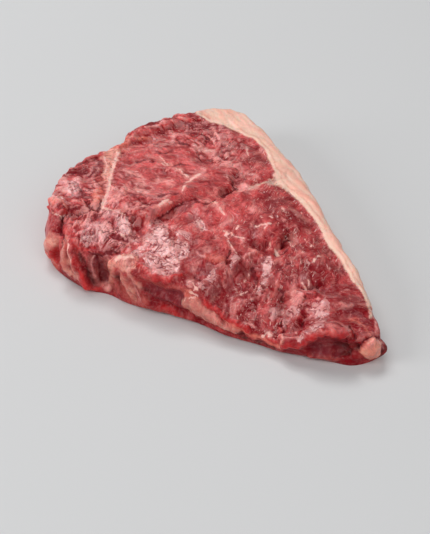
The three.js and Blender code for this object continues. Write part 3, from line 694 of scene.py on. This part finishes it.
def mark_shares():
    """How much of each kind of mark is at every point. Their edges wander a little."""
    shares = {kind: np.zeros(len(points)) for kind in KINDS}
    wander = warped(warped(points, 0.8, 4, 101), 0.5, 1.6, 104)
    seen = pixels_of(wander)
    uneven = 0.95 + 0.55 * noise(points, 2.6, 107)
    for kind, width, *runs in LINES:
        for run in runs:
            near = nearby(seen, run, 3 * width + MARK_MARGIN)
            add_share(shares, kind, near, width * uneven[near] - distance_to(seen[near], run))
    for kind, *outlines in AREAS:
        for outline in outlines:
            near = nearby(seen, outline, MARK_MARGIN)
            add_share(shares, kind, near, depth_inside(seen[near], outline))
    return shares


def nearby(places, run, margin):
    """The numbers of the places in the run's box, with a margin."""
    low = np.min(run, 0) - margin
    high = np.max(run, 0) + margin
    return np.flatnonzero(((places > low) & (places < high)).all(1))


def add_share(shares, kind, near, inside):
    """Adds a mark, given how far inside its edge each nearby point is."""
    fade = KINDS[kind][4]
    share = smooth(-fade / 2, fade / 2, inside) * shown[near]
    shares[kind][near] = np.maximum(shares[kind][near], share)


def most_of(*kinds):
    """The largest share of these kinds of mark at every point."""
    return np.max([marks[kind] for kind in kinds], 0)


fat_depth = fat_inside()
fat = smooth(-0.3, 0.3, fat_depth)
meat = 1 - fat
grain = grain_places()
ropes, cracks, flecks, paleness = patch_values()
ropes = ropes * up + WALL_ROPES * (1 - up)
marks = mark_shares()

# ---- Patterns of the meat ----
curl = warped(grain, 1.2, 4, 24)
fine_strand = abs(noise(curl, 2.7, 31)) + 0.5 * smooth(0.1, -0.5, noise(points, 7, 33))
strand = np.minimum(fine_strand, 1.7 * abs(noise(curl, 5.6, 32)))
dome = smooth(0, 0.7, strand)
folded = smooth(0.25, 1.0, ropes)
bare = 1 - most_of("beige", "nub", "peach", "orange", "cream", "pink")
# Where the creases between the ropes are painted deep red, as shade
crease = (0.04 + 0.8 * folded) * smooth(-0.3, 0.4, noise(grain, 6, 34)) * meat * bare
grouped = np.clip(0.55 + 1.0 * noise(points, 6, 82), 0, 1)
# Where the tops of the ropes are painted paler: partly paler fibre, partly painted light
tops = up * meat * np.maximum(0.9 * folded * paleness, np.clip(cracks, 0, 1) * grouped)
fibre = noise(curl, 1.5, 37)
crackle = warped(points, 1.4, 4, 61)
# The wet film on the sheen marks, painted paler as a sheen of reflected light
film_and_sheen = marks["sheen"] * meat * smooth(-0.6, -0.3, noise(points, 4, 69))
film_edge = cell_edges(crackle, 4.0, 67)
film_crack = film_and_sheen * (1 - smooth(0.02, 0.2, film_edge)) * smooth(-0.4, 0.1, noise(points, 6, 68))
calm = (1 - 0.7 * film_and_sheen) * (1 - 0.6 * most_of("beige", "nub", "peach", "suet"))
fat_streak = noise(stretched(warped(points, 0.8, 8, 85), FAT_RUN, 8), 2.2, 88)


# ---- Relief, in millimetres ----
ROPE_HEIGHT = 1.0  # where the meat is folded
GRAIN_HEIGHT = 0.08  # where it is not
DOME_LEVEL = 0.7  # share of a rope's height that is below the skin
WAVE_HEIGHT = 0.35
FIBRE_HEIGHT = 0.14
SWELL_HEIGHT = 0.5
CRACK_DEPTH = 0.4
FAT_HEIGHT = 0.2
FAT_WAVE_HEIGHT = 0.15
FAT_STREAK_HEIGHT = 0.25
FOOT_HEIGHT = 3  # above the floor, where the relief reaches its full height
ON_FLOOR = 0.01  # points below this stay where they are, and no other point comes down to it


def meat_relief():
    """How far the meat stands out: its ropes, grain and broad waves, and the cracks of its film."""
    relief = calm * (GRAIN_HEIGHT + ROPE_HEIGHT * folded) * (dome - DOME_LEVEL)
    waves = WAVE_HEIGHT * (1 - folded) * noise(curl, 5, 52)
    relief += calm * (waves + FIBRE_HEIGHT * fibre) + SWELL_HEIGHT * noise(points, 11, 51)
    return relief - CRACK_DEPTH * film_crack


def skin_relief():
    """How far each point stands out, with its marks, and flat near the floor."""
    fat_relief = FAT_WAVE_HEIGHT * noise(points, 4, 73) + FAT_STREAK_HEIGHT * fat_streak + FAT_HEIGHT
    relief = meat * meat_relief() + fat * fat_relief
    for kind, (_, _, height, _, _) in KINDS.items():
        relief += height * marks[kind]
    return relief * smooth(0, FOOT_HEIGHT, points[:, 2])


moved = points + skin_relief()[:, None] * normals
moved[:, 2] = np.where(points[:, 2] < ON_FLOOR, points[:, 2], np.maximum(moved[:, 2], 2 * ON_FLOOR))
mesh.vertices.foreach_set("co", (moved * MM).astype(np.float32).ravel())
mesh.update()


# ---- Colour ----
# Lines along the cap of fat: depth in it and width, in millimetres, and strength
FAT_LINES = [(2.0, 0.35, 1.0), (4.6, 0.5, 0.3)]


def meat_tint():
    """The meat's colour, with its marks: some paint shade in hollows and folds, some light on lumps, rims
    and wet film.
    """
    mottle = 0.65 * noise(curl, 5.5, 81) + 0.35 * fibre + 0.3 * noise(points, 14, 84)
    pale = np.clip(paleness + mottle * (0.6 + 0.4 * up), 0, 1)
    tint = np.tile(linear(MEAT_DARK), (len(points), 1))
    tint = blended(tint, MEAT_PALE, pale)
    for kind, (colour, amount, _, _, _) in KINDS.items():
        tint = blended(tint, colour, amount * marks[kind] * (0.85 + 0.4 * noise(curl, 3, 91)))
    tint = blended(tint, MARBLE, 0.4 * up * smooth(0.2, 0.6, noise(curl, 3.6, 98)))
    hidden = (1 - shown) * (1 - up)
    return blended(tint, TISSUE, 0.8 * hidden * smooth(0, 0.5, noise(grain, 6, 95)))


def fat_tint():
    """The fat's colour: cream at its inner edge, pink outside, with lines and streaks along it."""
    layer = fat_depth + 0.5 * noise(points, 8, 86)
    tint = np.tile(linear(FAT_CREAM), (len(points), 1))
    tint = blended(tint, FAT_PINK, 0.8 * smooth(1.2, 2.4, layer) * smooth(-0.7, 0.4, fat_streak))
    lines = sum(strength * np.exp(-((layer - depth) / width) ** 2)
                for depth, width, strength in FAT_LINES)
    tint = blended(tint, FAT_LINE, 0.55 * lines * smooth(-0.6, 0.1, noise(points, 9, 87)))
    tint = blended(tint, FAT_LINE, 0.3 * smooth(0.3, 0.8, fat_streak))
    return blended(tint, CREAM, 0.5 * smooth(-0.3, -0.8, fat_streak))


def skin_gloss():
    """How glossy each point is."""
    gloss = 0.1 + 0.5 * smooth(0.1, 0.6, strand) * up
    for kind, (_, _, _, shine, _) in KINDS.items():
        gloss += (shine - gloss) * marks[kind]
    return gloss + (1 - gloss) * film_and_sheen


def store(name, kind, field, values):
    """Keeps values of every point in the mesh, for the material."""
    layer = mesh.attributes.new(name, kind, "POINT")
    layer.data.foreach_set(field, values.astype(np.float32).ravel())


tint = meat_tint()
tint += (fat_tint() - tint) * fat[:, None]
store("tint", "FLOAT_COLOR", "color", np.concatenate([tint, np.ones((len(tint), 1))], 1))
store("crackle", "FLOAT_VECTOR", "vector", crackle)
store("curl", "FLOAT_VECTOR", "vector", curl)
store("streak", "FLOAT_VECTOR", "vector", warped(grain_places(4.0), 0.3, 1.2, 94))
SHARES = {
    "strand": strand,
    "crease": crease,
    "tops": tops,
    "film_and_sheen": film_and_sheen,
    "cracks": meat * np.maximum(film_and_sheen, cracks * up),
    "dark": marks["dark"],
    "cream": marks["cream"],
    "flecks": flecks * meat * (1 - film_and_sheen) * up,
    "gloss": skin_gloss(),
    "tissue": most_of("beige", "peach", "orange", "pink"),
    "meat": meat,
    "upper": meat * (0.25 + 0.75 * up),
}
for name, values in SHARES.items():
    store(name, "FLOAT", "value", values)


# ---- Material ----
# Pale flecks, partly fat and partly painted glints of light: size of their cells in millimetres,
# thickness, and the share of cells with one
FLECKS = [(1.5, 0.2, 0.7), (2.4, 0.13, 0.8), (1.0, 0.24, 0.65)]
# Curly lines: the places they follow, spacing in millimetres, thickness, and how much is missing
THREADS = ("curl", 2.6, 0.035, 0.5)
WRINKLES = [("curl", 2.6, 0.06, 0.3), ("curl", 1.6, 0.05, 0.35)]
CRACKS = [("crackle", 3.6, 0.05, 0.42), ("crackle", 2.0, 0.05, 0.5)]
ROUGHNESS = (0.34, 0.22)  # where the gloss is 0, and 1
COAT_FROM = 0.3  # gloss from which a wet coat begins
COAT = (0.0, 0.6)  # there, and where the gloss is 1
BUMP = {"Strength": 0.7, "Distance": 0.0004}
SOCKETS = {
    "IOR": 1.3,
    "Specular Tint": (1.0, 0.5, 0.5, 1),
    "Subsurface Weight": 0.5,
    "Subsurface Radius": (1.0, 0.15, 0.1),
    "Subsurface Scale": 0.0012,
    "Coat Roughness": 0.28,
}


class Graph:
    """Short ways to add and join the nodes of a material."""

    def __init__(self, name):
        self.material = bpy.data.materials.new(name)
        self.material.use_nodes = True
        self.tree = self.material.node_tree
        self.shader = self.tree.nodes["Principled BSDF"].inputs

    def join(self, value, socket):
        """Gives the socket another node's output or a plain value."""
        if isinstance(value, bpy.types.NodeSocket):
            self.tree.links.new(value, socket)
        else:
            socket.default_value = value

    def add(self, kind, output, settings=(), **inputs):
        """An output of a new node."""
        node = self.tree.nodes.new("ShaderNode" + kind)
        for name, value in dict(settings).items():
            setattr(node, name, value)
        for name, value in inputs.items():
            self.join(value, node.inputs[name.replace("_", " ")])
        return node.outputs[output]

    def stored(self, name, output="Fac"):
        """What the mesh keeps for every point under the name."""
        return self.add("Attribute", output, {"attribute_name": name})

    def math(self, operation, first, second=0.0):
        """What the operation makes of one or two values."""
        node = self.tree.nodes.new("ShaderNodeMath")
        node.operation = operation
        self.join(first, node.inputs[0])
        self.join(second, node.inputs[1])
        return node.outputs[0]

    def product(self, first, *others):
        """All the values, multiplied."""
        for other in others:
            first = self.math("MULTIPLY", first, other)
        return first

    def most(self, first, *others):
        """The largest of the values."""
        for other in others:
            first = self.math("MAXIMUM", first, other)
        return first

    def ramp(self, value, low, high, to_low=0.0, to_high=1.0):
        """The value, taken smoothly from low and high to their new values."""
        return self.add("MapRange", "Result", {"interpolation_type": "SMOOTHSTEP"}, Value=value,
                        From_Min=low, From_Max=high, To_Min=to_low, To_Max=to_high)

    def noise(self, place, scale, detail=1.0):
        """A smooth random pattern over the places that the mesh keeps under that name."""
        return self.add("TexNoise", "Fac", Vector=self.stored(place, "Vector"), Scale=scale,
                        Detail=detail)

    def mix(self, share, first, second):
        """The first colour, moved towards the second by the share."""
        node = self.tree.nodes.new("ShaderNodeMix")
        node.data_type = "RGBA"
        self.join(share, node.inputs["Factor"])
        self.join(first, node.inputs[6])
        self.join(second, node.inputs[7])
        return node.outputs[2]


def flecks_of(graph, size, thickness, share):
    """Short pale strokes along the grain, one in some of the cells: partly fat, partly painted glints."""
    node = graph.tree.nodes.new("ShaderNodeTexVoronoi")
    graph.join(graph.stored("streak", "Vector"), node.inputs["Vector"])
    node.inputs["Scale"].default_value = 1 / size
    stroke = graph.ramp(node.outputs["Distance"], thickness, 0.5 * thickness)
    chance = graph.math("SUBTRACT", graph.stored("flecks"), node.outputs["Color"])
    return graph.product(stroke, graph.ramp(chance, 1 - share - 0.05, 1 - share + 0.05))


def lines_of(graph, place, spacing, thickness, gaps):
    """Thin curly lines that come and go."""
    wave = graph.math("SUBTRACT", graph.noise(place, 1 / spacing), 0.5)
    line = graph.ramp(graph.math("ABSOLUTE", wave), thickness, 0.3 * thickness)
    there = graph.ramp(graph.noise(place, 0.7 / spacing), gaps, gaps + 0.1)
    return graph.product(line, there)


def speckled(graph, tint, colour, place, spacing, low, high, share):
    """The tint with fine specks of the colour all over the top of the meat."""
    speck = graph.ramp(graph.noise(place, 1 / spacing), low, high)
    return painted(graph, tint, colour, speck, graph.stored("upper"), share)


def torn(graph, name, amount=0.5, low=0.4, high=0.6):
    """The share of a kind of mark, with a crisp and uneven edge."""
    uneven = graph.noise("crackle", 0.7, 2.0)
    moved = graph.product(graph.math("SUBTRACT", uneven, 0.5), amount * 2)
    share = graph.ramp(graph.math("ADD", graph.stored(name), moved), low, high)
    return graph.product(share, graph.ramp(graph.stored(name), 0.02, 0.2))


def painted(graph, tint, colour, *shares):
    """The tint, moved towards the colour by the product of the shares."""
    return graph.mix(graph.product(*shares), tint, (*linear(colour), 1))


def fine_marks(graph):
    """The shares of the wrinkles, cracks, pale strokes and grain, all finer than the mesh."""
    flecks = graph.most(*(flecks_of(graph, *row) for row in FLECKS))
    threads = graph.product(lines_of(graph, *THREADS), graph.stored("flecks"))
    pale = graph.most(flecks, graph.product(threads, 0.55))
    wrinkles = graph.most(*(lines_of(graph, *row) for row in WRINKLES))
    wrinkles = graph.product(wrinkles, graph.ramp(graph.stored("crease"), 0.35, 0.75))
    cracks = graph.product(graph.most(*(lines_of(graph, *row) for row in CRACKS)), graph.stored("cracks"))
    grain = graph.ramp(graph.noise("curl", 1.0, 3.0), 0.3, 0.7)
    return wrinkles, cracks, pale, grain


def beef_tint(graph, wrinkles, cracks, pale, grain):
    """The mesh's tint, with everything finer painted on it."""
    light = graph.product(graph.math("SUBTRACT", grain, 0.5), graph.stored("meat"))
    tint = painted(graph, graph.stored("tint", "Color"), DEEP_RED, light, -0.35)
    tint = painted(graph, tint, FLECK_AND_GLINT, light, 0.14)
    tint = speckled(graph, tint, MARBLE, "crackle", 1.3, 0.58, 0.72, 0.3)
    tint = speckled(graph, tint, DEEP_RED, "curl", 0.9, 0.46, 0.32, 0.45)
    patchy = graph.ramp(graph.noise("curl", 0.6), 0.45, 0.65)
    tint = painted(graph, tint, TISSUE, patchy, graph.stored("tissue"), 0.35)
    # Tops of the ropes painted paler: partly paler fibre, partly painted light
    tops = graph.ramp(graph.stored("strand"), 0.15, 0.36)
    tint = painted(graph, tint, STRAND, tops, graph.stored("tops"), 0.8)
    # Creases between the ropes painted deep red, as shade
    crease = graph.ramp(graph.stored("strand"), 0.2, 0.03)
    tint = painted(graph, tint, DEEP_RED, crease, graph.stored("crease"))
    # Fine wrinkles painted deep red, as shade
    tint = painted(graph, tint, DEEP_RED, wrinkles, 0.75)
    # Crevices painted dark, as shade
    tint = painted(graph, tint, CREVICE_SHADE, torn(graph, "dark", 0.5, 0.4, 0.8), 0.8)
    # Wet film painted paler, as a sheen of reflected light
    tint = painted(graph, tint, FILM_AND_SHEEN, torn(graph, "film_and_sheen", 0.9), 0.75)
    tint = painted(graph, tint, FILM_CRACK, cracks, 0.9)
    tint = painted(graph, tint, CREAM, torn(graph, "cream", 0.4, 0.35, 0.75), 0.75)
    # Pale flecks and threads: partly fat, partly painted glints of light
    return painted(graph, tint, FLECK_AND_GLINT, pale, 0.6)


def beef_material():
    """Moist meat: its tint comes with the mesh, with fine creases painted as shade, threads and flecks
    partly painted as glints, and cracks.
    """
    graph = Graph("raw_beef")
    wrinkles, cracks, pale, grain = fine_marks(graph)
    graph.join(beef_tint(graph, wrinkles, cracks, pale, grain), graph.shader["Base Color"])
    height = graph.math("ADD", graph.product(pale, 0.5), graph.product(grain, 0.3))
    height = graph.math("SUBTRACT", height, graph.most(cracks, wrinkles))
    graph.join(graph.add("Bump", "Normal", Height=height, **BUMP), graph.shader["Normal"])
    gloss = graph.stored("gloss")
    graph.join(graph.ramp(gloss, 0, 1, *ROUGHNESS), graph.shader["Roughness"])
    graph.join(graph.ramp(gloss, COAT_FROM, 1, *COAT), graph.shader["Coat Weight"])
    for name, value in SOCKETS.items():
        graph.shader[name].default_value = value
    return graph.material


mesh.materials.clear()
mesh.materials.append(beef_material())
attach(skin, "root")
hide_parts("steak")


# ---- Stage ----
FLOOR_SIZE = 6  # metres
ROOM_COLOUR = (1, 0.98, 0.97, 1)
ROOM_STRENGTH = 0.22
# Name, place from the camera's side and size, in metres, and power in watts
LAMPS = [
    ("key", (-0.8, 1.0, 1.8), (1.3, 0.9), 19),
    ("sparkle", (-0.3, 1.3, 1.7), (0.5, 0.5), 7),
    ("fill", (0.4, -1.2, 1.2), (1.4, 1.4), 10.5),
    ("side", (-1.5, -0.5, 0.7), (0.8, 0.8), 11),
]


def floor():
    """A plain pale floor."""
    bpy.ops.mesh.primitive_plane_add(size=FLOOR_SIZE)
    plane = bpy.context.object
    plane.name = "floor"
    material = bpy.data.materials.new("floor")
    material.use_nodes = True
    shader = material.node_tree.nodes["Principled BSDF"].inputs
    shader["Base Color"].default_value = (*linear(FLOOR_COLOUR), 1)
    shader["Roughness"].default_value = 0.7
    shader["Specular IOR Level"].default_value = 0.2
    plane.data.materials.append(material)


def softbox(name, place, size, power):
    """A lamp as wide and high as its size, in metres, that points at the steak."""
    light = bpy.data.lights.new(name, "AREA")
    light.shape = "RECTANGLE"
    light.size, light.size_y = size
    light.energy = power
    lamp = bpy.data.objects.new(name, light)
    bpy.context.scene.collection.objects.link(lamp)
    lamp.location = view_place(*place)
    lamp.rotation_euler = (-lamp.location).to_track_quat("-Z", "Y").to_euler()


def view_place(sideways, away, height):
    """A place given from the camera's side: to its right, away from it and up, in metres."""
    turn = math.radians(CAMERA_TURN)
    return (sideways * math.cos(turn) - away * math.sin(turn),
            sideways * math.sin(turn) + away * math.cos(turn), height)


def camera():
    """The camera, with the photograph's view."""
    data = bpy.data.cameras.new("camera")
    data.lens = CAMERA_LENS
    data.sensor_width = CAMERA_SENSOR
    data.clip_start = 0.01
    eye = bpy.data.objects.new("camera", data)
    bpy.context.scene.collection.objects.link(eye)
    eye.location = [value * MM for value in CAMERA_PLACE]
    eye.rotation_euler = (math.radians(90 - CAMERA_DOWN), 0, math.radians(CAMERA_TURN))
    bpy.context.scene.camera = eye


def room():
    """Soft even light from all round."""
    world = bpy.data.worlds.new("room")
    bpy.context.scene.world = world
    world.use_nodes = True
    background = world.node_tree.nodes["Background"].inputs
    background["Color"].default_value = ROOM_COLOUR
    background["Strength"].default_value = ROOM_STRENGTH


floor()
for lamp in LAMPS:
    softbox(*lamp)
room()
camera()
bpy.context.scene.view_settings.view_transform = "Standard"
